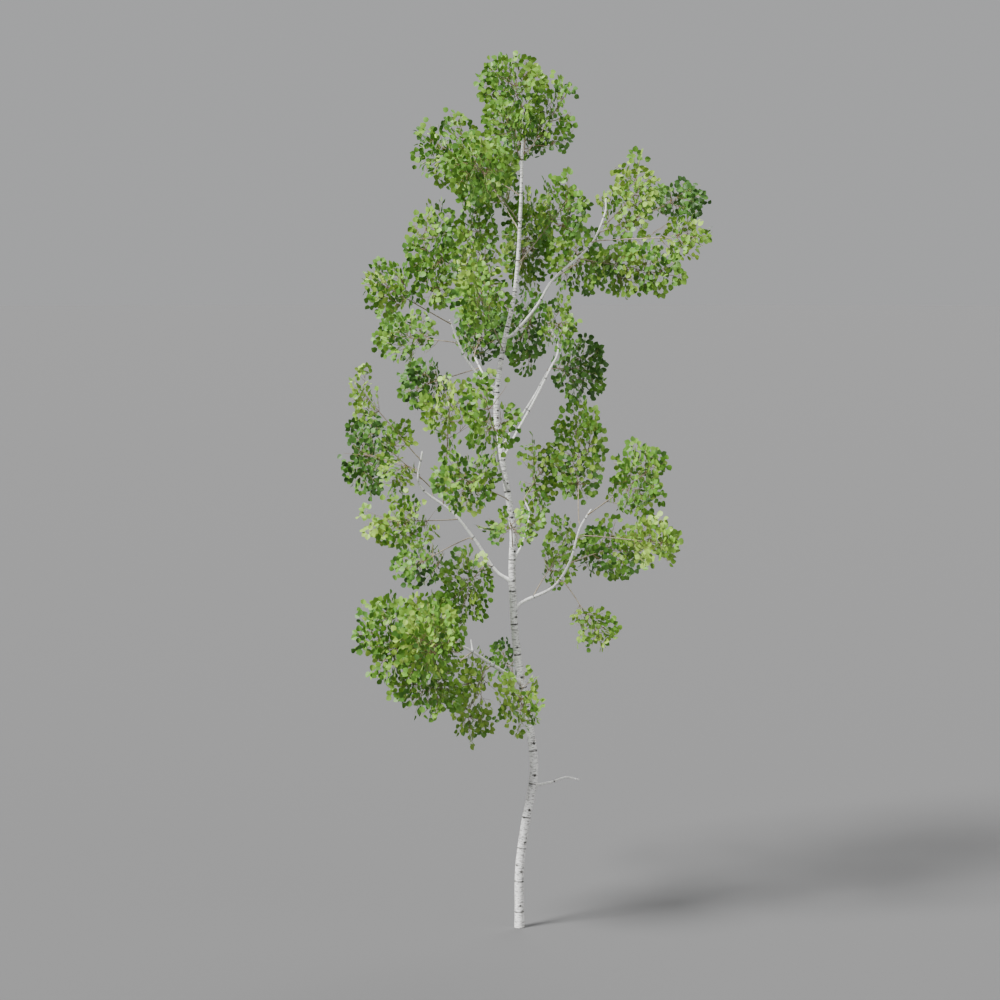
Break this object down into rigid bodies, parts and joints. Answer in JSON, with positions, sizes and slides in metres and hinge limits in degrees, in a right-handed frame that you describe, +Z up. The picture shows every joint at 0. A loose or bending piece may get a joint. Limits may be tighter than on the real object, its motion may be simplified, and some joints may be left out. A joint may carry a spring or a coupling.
{
  "type": "aspen tree",
  "caption": "Slender young aspen in summer leaf: a pale, banded, weaving trunk runs up through an open crown of round-leaved sprays on rising boughs.",
  "frame": {"origin": "middle of the flat cut under the trunk, at ground level", "axes": "+Z straight up; +X to the right of the view the tree was rebuilt from; -Y towards that view's camera"},
  "size_m": [2.5789, 2.1222, 5.9853],
  "materials": {
    "trunk_bark": "matte pale bark with dark bands and eye scars",
    "bough_bark": "matte pale young bark",
    "leaves": "soft sheen, green with paler undersides, on thin brown twigs"
  },
  "bodies": {
    "root": {"trunk": "trunk_bark", "bough_low_bare": "bough_bark", "bough_low_left": "bough_bark", "bough_left": "bough_bark", "bough_right": "bough_bark", "bough_shoot": "bough_bark", "bough_high_left": "bough_bark", "bough_mid_right": "bough_bark", "bough_high_right": "bough_bark", "bough_back_high": "bough_bark", "bough_back_mid": "bough_bark", "bough_front": "bough_bark", "crown_tip": "leaves", "crown_right": "leaves", "heart_front": "leaves", "heart_back": "leaves", "left_plume": "leaves", "upper_front": "leaves", "upper_back": "leaves", "left_outer": "leaves", "left_inner": "leaves", "front_high": "leaves", "right_inner": "leaves", "back_upper": "leaves", "right_mid": "leaves", "right_crown": "leaves", "right_back_wing": "leaves", "right_front_wing": "leaves", "right_skirt": "leaves", "inner_drop": "leaves", "mid_right_tip": "leaves", "back_high": "leaves", "far_left_high": "leaves", "left_fan": "leaves", "far_left_wisp": "leaves", "back_left": "leaves", "left_bright": "leaves", "front_mid": "leaves", "left_heart": "leaves", "back_round": "leaves", "right_column": "leaves", "right_plume": "leaves", "shoot_tip": "leaves", "front_low": "leaves", "right_skirt_low": "leaves", "right_inner_low": "leaves", "right_tip_low": "leaves", "right_drop": "leaves", "back_low": "leaves", "far_left_back": "leaves", "left_spike": "leaves", "left_wing": "leaves", "left_under": "leaves", "left_low": "leaves", "low_left_outer": "leaves", "low_left_front": "leaves", "low_left_back": "leaves", "low_left_under": "leaves", "low_drop": "leaves", "trunk_front_low": "leaves"}
  },
  "joints": []
}
